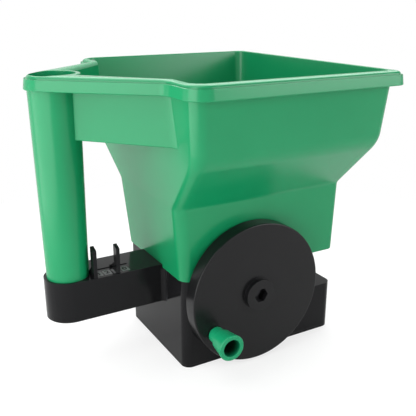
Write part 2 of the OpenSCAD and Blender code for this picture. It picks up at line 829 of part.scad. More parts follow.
// Places of the screws that hold the hopper
module hopper_screw_places() {
    for (x = [-post_x_rear, post_x_wing], y = [-post_half_y, post_half_y])
        translate([x, y, 0])
            children();
}

// Black housing: gear case, deck, walls round the disc and shelf under the gate
module base_housing() {
    color(black)
        difference() {
            union() {
                difference() {
                    union() {
                        rounded_box(-base_rear, base_front, base_half_w, cover_t, deck_z, base_corner_r);
                        rounded_box(-base_rear, wing_x, base_half_w, deck_z - over, base_h, base_corner_r);
                    }
                    rounded_box(base_wall - base_rear, base_front - base_wall, wall_in, cover_t - over,
                                deck_under, base_corner_r - base_wall);
                    disc_space();
                    translate([base_wall - base_rear, -wall_in, roof_z])
                        cube([wing_l, 2 * wall_in, base_h]);
                }
                base_posts();
            }
            base_bores();
            translate([-base_rear - over, -gate_w / 2 - gate_gap, roof_z])
                cube([base_wall + 2 * over, gate_w + 2 * gate_gap, base_h]);
            translate([-outlet_rear - 1, -outlet_w / 2 - 1, roof_under - over])
                cube([outlet_l + 2, outlet_w + 2, roof_t + 2 * over]);
        }
}

// Space round the throwing disc, open towards the front
module disc_space() {
    translate([base_wall - base_rear, -wall_in, deck_z])
        cube([wing_l, 2 * wall_in, roof_under - deck_z]);
}

// Screw posts, shaft bosses and the post for the pinion shaft
module base_posts() {
    for (side = [-1, 1]) {
        for (x = [-post_x_rear, post_x_front])
            screw_post(x, side, cover_t, deck_z - deck_t / 2);
        for (x = [-post_x_rear, post_x_wing])
            screw_post(x, side, deck_z - deck_t / 2, base_h);
    }
    for (z = [crank_z, pinion_z])
        crank_side(z)
            translate([0, 0, bush_in])
                cylinder(r = bush_boss_r, h = wall_out - bush_in - base_wall / 2);
    translate([-bush_boss_r, -post_y - post_t, pinion_z - bush_boss_r])
        cube([2 * bush_boss_r, post_t, deck_z - deck_t / 2 - pinion_z + bush_boss_r]);
}

// Post for a screw, joined to the base's side wall
module screw_post(x, side, z0, z1) {
    translate([x, side * post_half_y, z0])
        cylinder(r = screw_post_r, h = z1 - z0);
    translate([x - 0.7 * screw_post_r, side > 0 ? post_half_y : base_wall / 2 - base_half_w, z0])
        cube([1.4 * screw_post_r, screw_inset - base_wall / 2, z1 - z0]);
}

// Bores for the bushes and the screws
module base_bores() {
    for (z = [crank_z, pinion_z])
        crank_side(z)
            translate([0, 0, bush_in - over])
                cylinder(r = bush_r + fix_gap, h = wall_out - bush_in + 2 * over);
    crank_side(pinion_z)
        translate([0, 0, post_y - over])
            cylinder(r = bush_r + fix_gap, h = post_t + 2 * over);
    translate([0, 0, deck_under - over])
        cylinder(r = bush_r + fix_gap, h = base_h);
    cover_screw_places()
        translate([0, 0, cover_t - over])
            cylinder(r = screw_r + fix_gap, h = screw_l + 2 + over);
    hopper_screw_places()
        translate([0, 0, floor_top - screw_l - 2])
            cylinder(r = screw_r + fix_gap, h = screw_l + 2 + over);
}

// Black plate that closes the gear case and that the spreader stands on
module bottom_cover() {
    color(black)
        difference() {
            union() {
                rounded_box(-base_rear, base_front, base_half_w, 0, cover_t, base_corner_r);
                cylinder(r = bush_boss_r, h = lower_boss_top);
            }
            translate([0, 0, lower_seat])
                cylinder(r = bush_r + fix_gap, h = lower_boss_top);
            cover_screw_places() {
                translate([0, 0, -over])
                    cylinder(r = screw_r + 0.2, h = cover_t + 2 * over);
                translate([0, 0, 0])
                    cylinder(r1 = screw_head_r + 0.15, r2 = screw_r + 0.15, h = screw_head_r - screw_r);
            }
        }
}

// Black plate that shuts the outlet
module gate_plate() {
    color(black)
        difference() {
            translate([gate_back_x, -gate_w / 2, gate_under])
                cube([gate_front_x - gate_back_x, gate_w, gate_t]);
            translate([gate_stand_x - gate_stem_l / 2 - fix_gap, -slot_y - gate_stem_t / 2 - fix_gap,
                       gate_under - over])
                cube([gate_stem_l + 2 * fix_gap, gate_stem_t + 2 * fix_gap, gate_t + 2 * over]);
        }
}

// Finger tab that slides the gate, with its stem through the arm's slot
module gate_tab() {
    color(black)
        translate([gate_stand_x, 0, 0]) {
            translate([0, 0, arm_top + gate_gap])
                finger(-slot_y + slot_w, finger_h);
            translate([-gate_stem_l / 2, -slot_y - gate_stem_t / 2, gate_under])
                cube([gate_stem_l, gate_stem_t, arm_top + gate_gap + 2 - gate_under]);
        }
}

// Black crank wheel: a deep disc with an internal gear and a hub
module crank_wheel() {
    color(black)
        crank_side(crank_z)
            difference() {
                union() {
                    rotate_extrude()
                        polygon([
                            [0, face_back],
                            [wheel_r - skirt_t, face_back],
                            [wheel_r - skirt_t, wheel_back],
                            [wheel_r, wheel_back],
                            [wheel_r, wheel_front - wheel_edge],
                            [wheel_r - 0.3 * wheel_edge, wheel_front - 0.3 * wheel_edge],
                            [wheel_r - wheel_edge, wheel_front],
                            [0, wheel_front]
                        ]);
                    translate([0, 0, gear_in])
                        linear_extrude(height = face_back - gear_in + face_t / 2)
                            difference() {
                                circle(r = ring_r);
                                polygon(gear_outline(ring_teeth, ring_pitch, ring_tip, ring_root,
                                                     90 / ring_teeth + pitch_turn(backlash / 4, ring_pitch)));
                            }
                    translate([0, 0, hub_back])
                        cylinder(r = hub_r, h = wheel_front - hub_back - face_t / 2);
                    translate([0, 0, wheel_front - face_t / 2])
                        cylinder(r = boss_r, h = boss_h + face_t / 2);
                }
                translate([0, 0, hub_back - over])
                    cylinder(r = shaft_r + fix_gap, h = boss_front - hub_back + 2 * over);
                translate([0, 0, bolt_seat])
                    hex_bar(bolt_flats + 0.2, boss_front - bolt_seat + over);
                translate([knob_x, knob_y, knob_pin_in])
                    cylinder(r = knob_pin_r + fix_gap, h = face_t + over);
            }
}

// Steel bolt that the wheel turns with
module crank_bolt() {
    color(steel)
        crank_side(crank_z) {
            translate([0, 0, bolt_end])
                cylinder(r = shaft_r, h = bolt_seat - bolt_end);
            translate([0, 0, bolt_seat])
                hex_bar(bolt_flats, bolt_head_h);
        }
}

// Steel washer under the nut
module crank_washer() {
    color(steel)
        crank_side(crank_z)
            sleeve(washer_r, shaft_r + fix_gap, washer_in, washer_out);
}

// Lock nut on the crank bolt, inside the base
module crank_nut() {
    color(steel)
        crank_side(crank_z)
            difference() {
                translate([0, 0, nut_in])
                    hex_bar(bolt_flats, nut_t);
                translate([0, 0, nut_in - over])
                    cylinder(r = shaft_r + fix_gap, h = nut_t + 2 * over);
            }
}

// Bush that the crank bolt turns in
module crank_bush() {
    color(nylon)
        crank_side(crank_z)
            flanged_bush(bush_in, wall_out);
}

// Steel pin that the knob spins on
module knob_pin() {
    color(steel)
        crank_side(crank_z)
            translate([knob_x, knob_y, 0]) {
                translate([0, 0, knob_pin_in])
                    cylinder(r = knob_pin_r, h = knob_seat + float_gap - knob_pin_in);
                translate([0, 0, knob_seat + float_gap])
                    cylinder(r = knob_head_r, h = knob_head_h);
            }
}

// Green hollow knob, flared towards its end
module crank_knob() {
    color(green)
        crank_side(crank_z)
            translate([knob_x, knob_y, 0])
                rotate_extrude()
                    polygon([
                        [knob_pin_r + run_gap, knob_back],
                        [knob_neck_r - 0.4, knob_back],
                        [knob_neck_r, knob_back + 0.6],
                        [knob_neck_r, knob_seat],
                        [knob_body_r, knob_seat + 1.4],
                        [knob_end_r - 0.4, knob_front - 2],
                        [knob_end_r, knob_front - 1],
                        [knob_end_r - 0.6, knob_front],
                        [knob_hole_r, knob_front],
                        [knob_hole_r - 0.4, knob_front - 1.5],
                        [knob_head_r + 0.4, knob_seat + float_gap + knob_head_h],
                        [knob_head_r + 0.4, knob_seat],
                        [knob_pin_r + run_gap, knob_seat]
                    ]);
}

// Steel shaft of the pinion
module pinion_shaft() {
    color(steel)
        crank_side(pinion_z)
            translate([0, 0, bevel_pitch - bevel_face * cos(45) - 0.4])
                cylinder(r = shaft_r, h = pinion_out - bevel_pitch + bevel_face * cos(45) + 0.4);
}

// Pinion inside the wheel
module ring_pinion() {
    color(nylon)
        crank_side(pinion_z)
            difference() {
                union() {
                    translate([0, 0, pinion_in])
                        linear_extrude(height = pinion_out - pinion_in)
                            polygon(gear_outline(pinion_teeth, pinion_pitch, pinion_root, pinion_tip,
                                                 90 / pinion_teeth - pitch_turn(backlash / 4, pinion_pitch)));
                    translate([0, 0, hub_back])
                        cylinder(r = bush_r, h = pinion_in - hub_back + over);
                }
                translate([0, 0, hub_back - over])
                    cylinder(r = shaft_r + fix_gap, h = pinion_out - hub_back + 2 * over);
            }
}

// Bevel gear on the pinion shaft, with a tooth upwards
module drive_bevel() {
    color(nylon)
        crank_side(pinion_z)
            bevel_gear(90, drive_bevel_hub);
}

// Bush of the pinion shaft in the base's side
module pinion_outer_bush() {
    color(nylon)
        crank_side(pinion_z)
            flanged_bush(bush_in, wall_out);
}

// Bush of the pinion shaft in the inner post
module pinion_inner_bush() {
    color(nylon)
        crank_side(pinion_z)
            sleeve(bush_r, shaft_r + run_gap, post_y, post_y + post_t);
}

// Upright steel shaft of the disc and the stirrer
module disc_shaft() {
    color(steel)
        difference() {
            translate([0, 0, lower_seat + float_gap])
                cylinder(r = shaft_r, h = shaft_top - lower_seat - float_gap);
            translate([0, 0, clip_z])
                difference() {
                    cylinder(r = shaft_r + over, h = clip_t);
                    translate([0, 0, -over])
                        cylinder(r = shaft_r - clip_groove, h = clip_t + 2 * over);
                }
        }
}

// Bevel gear on the disc's shaft, with a gap towards the crank
module disc_bevel() {
    color(nylon)
        translate([0, 0, pinion_z])
            bevel_gear(-90 + 180 / bevel_teeth, disc_bevel_top - pinion_z);
}

// Bush at the shaft's foot
module lower_bush() {
    color(nylon)
        sleeve(bush_r, shaft_r + run_gap, lower_seat, lower_boss_top);
}

// Bush in the deck
module deck_bush() {
    color(nylon)
        flanged_bush(deck_under, deck_z);
}

// Bush in the shelf above the disc
module roof_bush() {
    color(nylon)
        flanged_bush(roof_under, roof_z);
}

// Vaned disc that throws the grain
module throwing_disc() {
    color(black)
        difference() {
            union() {
                translate([0, 0, disc_hub_z])
                    cylinder(r = disc_hub_r, h = disc_hub_h);
                translate([0, 0, disc_z])
                    cylinder(r = disc_r, h = disc_t);
                for (i = [0 : vane_count - 1])
                    rotate([0, 0, 360 * i / vane_count + 15])
                        translate([disc_hub_r - over, -vane_t / 2, disc_z + disc_t / 2])
                            cube([disc_r - disc_hub_r, vane_t, vane_h + disc_t / 2]);
            }
            translate([0, 0, disc_hub_z - over])
                cylinder(r = shaft_r + fix_gap, h = disc_hub_h + 2 * over);
        }
}

// Spring clip in the shaft's groove, above the disc
module disc_clip() {
    color(steel)
        difference() {
            translate([0, 0, clip_z + fix_gap])
                cylinder(r = clip_r, h = clip_t - 2 * fix_gap);
            translate([0, 0, clip_z - over])
                cylinder(r = shaft_r - clip_groove + fix_gap, h = clip_t + 2 * over);
            translate([0, -shaft_r + clip_groove, clip_z - over])
                cube([clip_r + over, 2 * (shaft_r - clip_groove), clip_t + 2 * over]);
        }
}

// Stirrer that keeps the grain moving, inside the hopper
module stirrer() {
    color(black)
        difference() {
            union() {
                translate([0, 0, stir_z])
                    cylinder(r = stir_hub_r, h = stir_hub_h);
                translate([-stir_reach, -stir_arm_t / 2, stir_z + 1.5])
                    cube([2 * stir_reach, stir_arm_t, stir_arm_t]);
            }
            translate([0, 0, stir_z - over])
                cylinder(r = shaft_r + fix_gap, h = shaft_top - stir_z + over);
        }
}

// Countersunk screws of the bottom cover
module cover_screws() {
    color(steel)
        cover_screw_places() {
            translate([0, 0, 0.15])
                cylinder(r1 = screw_head_r, r2 = screw_r, h = screw_head_r - screw_r);
            translate([0, 0, 1])
                cylinder(r = screw_r, h = screw_l);
        }
}

// Pan head screws that hold the hopper's floor to the base
module hopper_screws() {
    color(steel)
        hopper_screw_places() {
            translate([0, 0, floor_top])
                cylinder(r = screw_head_r, h = screw_head_h);
            translate([0, 0, floor_top - screw_l])
                cylinder(r = screw_r, h = screw_l + screw_head_h / 2);
        }
}

// Screw that holds the tube in the arm's socket
module tube_screw() {
    color(steel)
        translate([-handle_x, 0, tube_z - socket_floor]) {
            translate([0, 0, -screw_head_h])
                cylinder(r = 2 * tube_screw_r, h = screw_head_h);
            translate([0, 0, -screw_head_h / 2])
                cylinder(r = tube_screw_r, h = tube_screw_l - 2 + screw_head_h / 2);
        }
}

hopper();
handle_tube();
handle_arm();
base_housing();
bottom_cover();
gate_plate();
gate_tab();
crank_wheel();
crank_bolt();
crank_washer();
crank_nut();
crank_bush();
knob_pin();
crank_knob();
pinion_shaft();
ring_pinion();
drive_bevel();
pinion_outer_bush();
pinion_inner_bush();
disc_shaft();
disc_bevel();
lower_bush();
deck_bush();
roof_bush();
throwing_disc();
disc_clip();
stirrer();
cover_screws();
hopper_screws();
tube_screw();
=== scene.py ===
import json
import math

import bmesh
import bpy
from mathutils import Matrix, Vector


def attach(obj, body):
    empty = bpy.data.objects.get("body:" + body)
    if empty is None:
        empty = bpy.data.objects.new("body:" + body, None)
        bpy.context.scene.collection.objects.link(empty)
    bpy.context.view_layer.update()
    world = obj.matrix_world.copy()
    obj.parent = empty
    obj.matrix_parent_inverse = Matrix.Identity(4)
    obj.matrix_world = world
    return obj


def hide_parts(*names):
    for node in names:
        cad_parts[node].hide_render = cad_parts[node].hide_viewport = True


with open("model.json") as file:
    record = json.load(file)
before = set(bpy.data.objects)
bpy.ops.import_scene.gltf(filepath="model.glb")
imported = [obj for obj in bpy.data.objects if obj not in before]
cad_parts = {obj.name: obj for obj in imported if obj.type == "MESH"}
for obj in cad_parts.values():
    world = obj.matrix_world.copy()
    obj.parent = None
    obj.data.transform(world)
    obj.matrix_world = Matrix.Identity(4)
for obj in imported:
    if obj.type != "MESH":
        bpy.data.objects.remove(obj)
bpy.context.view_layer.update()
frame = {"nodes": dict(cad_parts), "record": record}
nodes = frame["nodes"]
scene = bpy.context.scene
MM = 0.001


# Materials: lengths in metres, scales of noise in cells per metre

MOULD_CLOUDS, MOULD_RUBS, MOULD_GRAIN = 24.0, 130.0, 900.0
MOULD_UNEVEN = 1.12
PLATING_CLOUDS, PLATING_GRAIN = 350.0, 2200.0
PLATING_UNEVEN = 1.5
CLOUD_RANGE = (0.30, 0.70)
RUB_RANGE = (0.40, 0.62)
WORN_WIDTH = 0.0007
WORN_COSINES = (0.985, 0.85)
# Painted shade in deep recesses: how far ambient occlusion looks, where it starts to darken, and how dark
# the shaded colour goes
RECESS_SHADE_REACH = 0.025
RECESS_SHADE_RANGE = (0.25, 0.80)
RECESS_SHADE_DEPTH = 0.06


class Graph:
    """Adds and links the nodes of one material or world."""

    def __init__(self, owner):
        owner.use_nodes = True
        self.tree = owner.node_tree
        self.tree.nodes.clear()

    def add(self, kind, inputs=None, **settings):
        node = self.tree.nodes.new("ShaderNode" + kind)
        for key, value in settings.items():
            setattr(node, key, value)
        for key, value in (inputs or {}).items():
            if isinstance(value, bpy.types.NodeSocket):
                self.tree.links.new(value, node.inputs[key])
            else:
                node.inputs[key].default_value = value
        return node

    def maths(self, operation, a, b):
        return self.add("Math", {0: a, 1: b}, operation=operation).outputs["Value"]

    def noise(self, where, scale, detail=2.0):
        return self.add("TexNoise", {"Vector": where, "Scale": scale, "Detail": detail}).outputs["Fac"]

    def ramp(self, value, low, high, to_low=0.0, to_high=1.0):
        return self.add("MapRange", {
            "Value": value, "From Min": low, "From Max": high, "To Min": to_low, "To Max": to_high,
        }).outputs["Result"]

    def blend(self, a, b, factor):
        return self.add("Mix", {"Factor": factor, "A": a, "B": b}, data_type="RGBA").outputs["Result"]

    def mix(self, a, b, factor):
        return self.add("MixShader", {"Fac": factor, 1: a, 2: b}).outputs["Shader"]

    def edges(self, radius):
        """1 along the edges of the piece, 0 on its faces."""
        rounded = self.add("Bevel", {"Radius": radius}, samples=4).outputs["Normal"]
        plain = self.add("NewGeometry").outputs["Normal"]
        same = self.add("VectorMath", {0: rounded, 1: plain}, operation="DOT_PRODUCT").outputs["Value"]
        return self.ramp(same, *WORN_COSINES)


def plastic(name, dark, light, worn, rough, specular=0.5, wear=0.3, hollow=False):
    """Moulded plastic: close shades in soft clouds, uneven gloss, paler worn edges, fine grain.

    With hollow set, painted shade darkens the colour in the deep recesses.
    """
    m = bpy.data.materials.new(name)
    g = Graph(m)
    where = g.add("TexCoord").outputs["Object"]
    cloud = g.noise(where, MOULD_CLOUDS, 4.0)
    edges = g.edges(WORN_WIDTH)
    rub = g.maths("MULTIPLY", edges, g.ramp(g.noise(where, MOULD_RUBS, 3.0), *RUB_RANGE, 0.0, wear))
    shade = g.blend((*dark, 1), (*light, 1), g.ramp(cloud, *CLOUD_RANGE))
    colour = g.blend(shade, (*worn, 1), rub)
    if hollow:
        # Painted shade: ambient occlusion darkens the colour in the deep recesses
        opening = g.add("AmbientOcclusion", {"Distance": RECESS_SHADE_REACH}, samples=8, only_local=True)
        unshaded = g.ramp(opening.outputs["AO"], *RECESS_SHADE_RANGE)
        colour = g.blend((*(RECESS_SHADE_DEPTH * c for c in dark), 1), colour, unshaded)
    gloss = g.ramp(cloud, *CLOUD_RANGE, rough, rough * MOULD_UNEVEN)
    bump = g.add("Bump", {"Height": g.noise(where, MOULD_GRAIN), "Strength": 0.02, "Distance": 0.0002})
    shader = g.add("BsdfPrincipled", {
        "Base Color": colour,
        "Roughness": gloss,
        "Normal": bump.outputs["Normal"],
        "Specular IOR Level": specular,
    })
    g.add("OutputMaterial", {"Surface": shader.outputs["BSDF"]})
    return m


def metal(name, dark, light, rough):
    """Plated steel: clouded plating with a fine, uneven grain."""
    m = bpy.data.materials.new(name)
    g = Graph(m)
    where = g.add("TexCoord").outputs["Object"]
    cloud = g.noise(where, PLATING_CLOUDS, 3.0)
    bump = g.add("Bump", {"Height": g.noise(where, PLATING_GRAIN), "Strength": 0.05, "Distance": 0.0001})
    shader = g.add("BsdfPrincipled", {
        "Base Color": g.blend((*dark, 1), (*light, 1), cloud),
        "Roughness": g.ramp(cloud, *CLOUD_RANGE, rough, rough * PLATING_UNEVEN),
        "Normal": bump.outputs["Normal"],
        "Metallic": 1.0,
    })
    g.add("OutputMaterial", {"Surface": shader.outputs["BSDF"]})
    return m


GREEN = plastic(
    "green_moulding", (0.006, 0.252, 0.095), (0.008, 0.264, 0.101), (0.08, 0.36, 0.19),
    rough=0.22, specular=0.36,
)
# The knob gets painted shade in its deep hole
KNOB_GREEN = plastic(
    "green_knob", (0.006, 0.285, 0.120), (0.008, 0.300, 0.130), (0.08, 0.40, 0.22),
    rough=0.30, specular=0.30, hollow=True,
)
BLACK = plastic(
    "black_moulding", (0.0090, 0.0090, 0.0098), (0.0105, 0.0105, 0.0115), (0.05, 0.05, 0.055),
    rough=0.12, specular=0.14, wear=0.45,
)
WHEEL_BLACK = plastic(
    "black_wheel", (0.0070, 0.0070, 0.0076), (0.0082, 0.0082, 0.0090), (0.05, 0.05, 0.055),
    rough=0.24, specular=0.26, wear=0.45,
)
NYLON = plastic("nylon", (0.70, 0.68, 0.61), (0.76, 0.74, 0.67), (0.80, 0.79, 0.74), rough=0.38)
STEEL = metal("plated_steel", (0.50, 0.51, 0.53), (0.66, 0.67, 0.69), rough=0.22)
# Painted shade: a darkened copy of the plated steel for the crank bolt, standing in for the shade deep in
# its hex recess
SHADE_DARK_STEEL = metal("shade_dark_bolt_steel", (0.020, 0.020, 0.022), (0.045, 0.045, 0.048), rough=0.16)
PRINT = plastic(
    "scale_print", (0.125, 0.125, 0.130), (0.160, 0.160, 0.165), (0.22, 0.22, 0.22),
    rough=0.50, specular=0.2, wear=0.2,
)
FIGURE = plastic(
    "scale_figure", (0.004, 0.004, 0.004), (0.006, 0.006, 0.006), (0.02, 0.02, 0.02),
    rough=0.60, specular=0.04, wear=0.2,
)

SLOT_LOOK = {"green_plastic": GREEN, "black_plastic": BLACK, "nylon": NYLON, "steel": STEEL}
OWN_LOOK = {"crank_knob": KNOB_GREEN, "crank_wheel": WHEEL_BLACK, "crank_bolt": SHADE_DARK_STEEL}
slot_of = {s["node"]: s["material_slot"] for s in frame["record"]["subparts"]}


def dress(obj, material):
    """Gives an object this one material."""
    obj.data.materials.clear()
    obj.data.materials.append(material)


for name, obj in nodes.items():
    dress(obj, OWN_LOOK.get(name, SLOT_LOOK[slot_of[name]]))


# Rounded edges and even shading on the CAD pieces that show: widths in millimetres

EDGE_WIDTH = {
    "handle_arm": 0.9,
    "base_housing": 0.8,
    "bottom_cover": 0.8,
    "gate_tab": 0.4,
    "crank_wheel": 0.35,
    "crank_knob": 0.35,
    "crank_bolt": 0.3,
    "throwing_disc": 0.3,
    "stirrer": 0.4,
}
EDGE_STEPS = 3
SHARP_ANGLE = math.radians(32)
FLAT_ANGLE = math.radians(0.6)
WELD_GAP = 0.002 * MM
FACE_WEIGHT = 60


def even_shading(obj):
    """Smooth shading that keeps flat faces flat and sharp edges sharp."""
    for p in obj.data.polygons:
        p.use_smooth = True
    even = obj.modifiers.new("even", "WEIGHTED_NORMAL")
    even.keep_sharp = True
    even.weight = FACE_WEIGHT


def soften(obj, width):
    """Modifiers that merge a CAD mesh's flat triangles and round its edges."""
    weld = obj.modifiers.new("weld", "WELD")
    weld.merge_threshold = WELD_GAP
    flat = obj.modifiers.new("flat", "DECIMATE")
    flat.decimate_type = "DISSOLVE"
    flat.angle_limit = FLAT_ANGLE
    edge = obj.modifiers.new("edge", "BEVEL")
    edge.width = width
    edge.segments = EDGE_STEPS
    edge.limit_method = "ANGLE"
    edge.angle_limit = SHARP_ANGLE
    edge.use_clamp_overlap = True
    edge.miter_outer = "MITER_ARC"


for name, width in EDGE_WIDTH.items():
    soften(nodes[name], width * MM)
    even_shading(nodes[name])
even_shading(nodes["handle_tube"])


# Hopper: the sizes of the part's source with softer edges, in millimetres

HANDLE_X = 127.2
TUBE_R_TOP, TUBE_R_FOOT = 17.6, 15.5
TUBE_FOOT_Z = 66.3
TUBE_WALL = 2.0
TUBE_PLAY = 0.1
WEB = 1.2
WALL = 2.5
BASE_H = 72.9
CREASE_Z = 131.5
SHOULDER_Z = 172.5
RIM_Z = 214.0
SKIRT_TOP = 221.4
LIP_TOP = 224.2
CREASE_SOFT = 2.0
SHOULDER_SOFT = 7.0

# Plan of the rim, and its profile of skirt, groove and lip
NOSE_R = 19.7
NECK_ANGLE = math.radians(42)
RIM_REAR, RIM_FRONT, RIM_HALF_W = 77.3, 94.1, 106.5
RIM_REAR_R, RIM_FRONT_R, RIM_NECK_R = 15.0, 8.0, 12.0
RIM_LEAST_R = 1.0
SKIRT_LEAN = 0.9
SKIRT_FOOT_R, SKIRT_EDGE_R = 0.7, 0.6
GROOVE_IN = 2.5
GROOVE_END_W, GROOVE_END_H = 0.3, 0.1
LIP_LEAN = 0.1
LIP_IN = GROOVE_IN + LIP_LEAN
LIP_H, LIP_W = 2.0, 5.0

# Neck between the bin and the grip tube
NECK_Z = 180.0
NECK_LEVELS = (8.0, 16.0, 24.0)
NECK_END_X = -61.0
NECK_SINK = 0.3
NECK_FILLET = 14.0
NECK_POCKET_R, NECK_FLOOR_R, NECK_LIP_R = 1.0, 1.2, 3.5
WALL_ANGLE = math.radians(48.4)
WALL_OFF = 4.2
WEB_FOOT_Z = NECK_Z - 5.0
SOCKET_FOOT_Z = NECK_Z - 10.0

# Edges, inside and floor of the bin
BIN_TOP = SKIRT_TOP - 3.0
FOOT_R, FLOOR_R = 0.8, 1.5
LIP_R, WEB_LIP_R, TUBE_LIP_R = 0.8, 1.0, 0.6
INSIDE_ROUND = 3.0
INSIDE_DRAFT = 1.5
INSIDE_RISE = 0.4 * WALL
FLOOR_CUT_Z = (BASE_H - 1.0, BASE_H + WALL + 1.0)
OUTLET_X = (-36.0, -20.0)
OUTLET_HALF_W = 9.0
SHAFT_HOLE_R, SCREW_HOLE_R = 4.5, 1.9
SCREW_X = (-49.4, 26.6)
SCREW_Y = 44.6

# Least corner radius, reach past a face, and steps of the arcs
TINY_R = 0.5
PAST = 2.0
TINY_STEPS, ROUND_STEPS, LIP_STEPS = 2, 4, 7
NECK_STEPS, RIM_NECK_STEPS, CORNER_STEPS, NOSE_STEPS = 8, 10, 12, 24
CREASE_STEPS, SHOULDER_STEPS = 4, 8
TUBE_STEPS, HOLE_STEPS = 72, 24

# Sections of the bin: rear, front, half-width, radius in front, radius behind, height
REAR, HEIGHT = 0, 5
FOOT = Vector((-57.5, 84.2, 51.7, 5.0, 8.0, BASE_H))
CREASE = Vector((-63.2, 84.2, 54.3, 5.0, 9.0, CREASE_Z))
SHOULDER = Vector((-69.5, 86.0, 95.5, 7.5, 9.0, SHOULDER_Z))
TOP = Vector((-73.0, 87.6, 100.0, 7.5, 9.0, RIM_Z))


def upper_section(z):
    """Section of the bin's upper walls at the height z, also above the rim's foot."""
    return SHOULDER.lerp(TOP, (z - SHOULDER_Z) / (RIM_Z - SHOULDER_Z))


def round_corner(a, b, c, r, steps):
    """Points of the arc of radius r that rounds the corner b between a and c."""
    u = (a - b).normalized()
    v = (c - b).normalized()
    half = u.angle(v) / 2
    middle = b + (u + v).normalized() * (r / math.sin(half))
    start = b + u * (r / math.tan(half)) - middle
    end = b + v * (r / math.tan(half)) - middle
    turn = math.atan2(start.cross(end), start.dot(end))
    return [middle + Matrix.Rotation(turn * i / steps, 2) @ start for i in range(steps + 1)]


def outline(corners):
    """Closed outline through corners (x, y, radius, steps)."""
    xy = [Vector(c[:2]) for c in corners]
    n = len(corners)
    points = []
    for i, corner in enumerate(corners):
        points += round_corner(xy[i - 1], xy[i], xy[(i + 1) % n], *corner[2:])
    return points


def oblong(x0, x1, y0, y1, r0, r1, steps):
    """Outline of a rectangle with corners of radius r0 at x0 and r1 at x1."""
    return outline([(x0, y0, r0, steps), (x1, y0, r1, steps), (x1, y1, r1, steps), (x0, y1, r0, steps)])


def level(points, z):
    """Points of an outline on the height z, in metres."""
    return [Vector((p.x, p.y, z)) * MM for p in points]


def nose_x(d):
    """Where the rim's edges beside the neck, moved in by d, would meet."""
    return -HANDLE_X - (NOSE_R - d) / math.sin(NECK_ANGLE)


def neck_half_w(x, d):
    """Half-width of the rim beside the neck at x, a distance d inside its edge."""
    return (x - nose_x(d)) * math.tan(NECK_ANGLE)


def wall_x(p):
    """Where the neck's side faces, a distance p from the tube's axis, would meet."""
    return -HANDLE_X - p / math.sin(WALL_ANGLE)


def wall_half_w(x, p):
    """Half-width of the neck at x between those side faces."""
    return (x - wall_x(p)) * math.tan(WALL_ANGLE)


def rim_outline(d):
    """Plan of the rim a distance d inside its edge."""
    x0, x1, w = d - RIM_REAR, RIM_FRONT - d, RIM_HALF_W - d
    y = neck_half_w(x0, d)
    front_r = max(RIM_FRONT_R - d, RIM_LEAST_R)
    return outline([
        (nose_x(d), 0, NOSE_R - d, NOSE_STEPS),
        (x0, -y, RIM_NECK_R + d, RIM_NECK_STEPS),
        (x0, -w, RIM_REAR_R - d, CORNER_STEPS),
        (x1, -w, front_r, CORNER_STEPS),
        (x1, w, front_r, CORNER_STEPS),
        (x0, w, RIM_REAR_R - d, CORNER_STEPS),
        (x0, y, RIM_NECK_R + d, RIM_NECK_STEPS),
    ])


def bin_ring(section, d, z):
    """Level outline of the bin a distance d inside a section of its outside."""
    rear, front, half_w, front_r, rear_r, _ = section
    thicker = INSIDE_ROUND * min(d / WALL, 1)
    front_r += thicker - d
    rear_r += thicker - d
    return level(oblong(rear + d, front - d, d - half_w, half_w - d, rear_r, front_r, CORNER_STEPS), z)


def soft(p, q, s, steps):
    """Sections that round the bend q between p and s."""
    ts = [i / steps for i in range(steps + 1)]
    return [p.lerp(q, t).lerp(q.lerp(s, t), t) for t in ts]


def bin_bends():
    """Sections of the bin's outside through its soft crease and shoulder."""
    flare_h = SHOULDER_Z - CREASE_Z
    crease_under = CREASE.lerp(FOOT, CREASE_SOFT / (CREASE_Z - BASE_H))
    crease_over = CREASE.lerp(SHOULDER, CREASE_SOFT / flare_h)
    shoulder_under = SHOULDER.lerp(CREASE, SHOULDER_SOFT / flare_h)
    shoulder_over = SHOULDER.lerp(TOP, SHOULDER_SOFT / (RIM_Z - SHOULDER_Z))
    bends = soft(crease_under, CREASE, crease_over, CREASE_STEPS)
    return bends + soft(shoulder_under, SHOULDER, shoulder_over, SHOULDER_STEPS)


def quarter_turn(steps):
    """Angles from 0 to 90 degrees in equal steps."""
    return [math.pi / 2 * i / steps for i in range(steps + 1)]


def quarter(r):
    """Pairs (inset, rise) along a quarter round of radius r, from level to upright."""
    return [(r - r * math.sin(a), r - r * math.cos(a)) for a in quarter_turn(ROUND_STEPS)]


def lip_flare(r):
    """Pairs (outward, height) that round the inner edge of the lip and run on above it."""
    pairs = [(inset, LIP_TOP - up) for inset, up in reversed(quarter(r))]
    return pairs + [(r, LIP_TOP + PAST)]


def new_piece(name, bm):
    """Object from a finished bmesh, with its faces turned outwards."""
    bmesh.ops.recalc_face_normals(bm, faces=bm.faces)
    mesh = bpy.data.meshes.new(name)
    bm.to_mesh(mesh)
    bm.free()
    piece = bpy.data.objects.new(name, mesh)
    scene.collection.objects.link(piece)
    return piece


def loft(name, rings):
    """Closed solid through rings of equally many points, from the bottom up."""
    bm = bmesh.new()
    rows = [[bm.verts.new(p) for p in ring] for ring in rings]
    n = len(rows[0])
    for low, high in zip(rows, rows[1:]):
        for i in range(n):
            j = (i + 1) % n
            bm.faces.new((low[i], low[j], high[j], high[i]))
    bm.faces.new(rows[0][::-1])
    bm.faces.new(rows[-1])
    return new_piece(name, bm)


def lathe(name, x, y, profile, steps=TUBE_STEPS):
    """Upright turned solid round (x, y) through (radius, height) pairs, from the bottom up."""
    turns = [2 * math.pi * i / steps for i in range(steps)]
    return loft(name, [
        [Vector((x + r * math.cos(a), y + r * math.sin(a), z)) * MM for a in turns] for r, z in profile
    ])


def final_mesh(obj):
    """Mesh of a new object with its modifiers applied."""
    view = bpy.context.evaluated_depsgraph_get()
    return bpy.data.meshes.new_from_object(obj.evaluated_get(view))


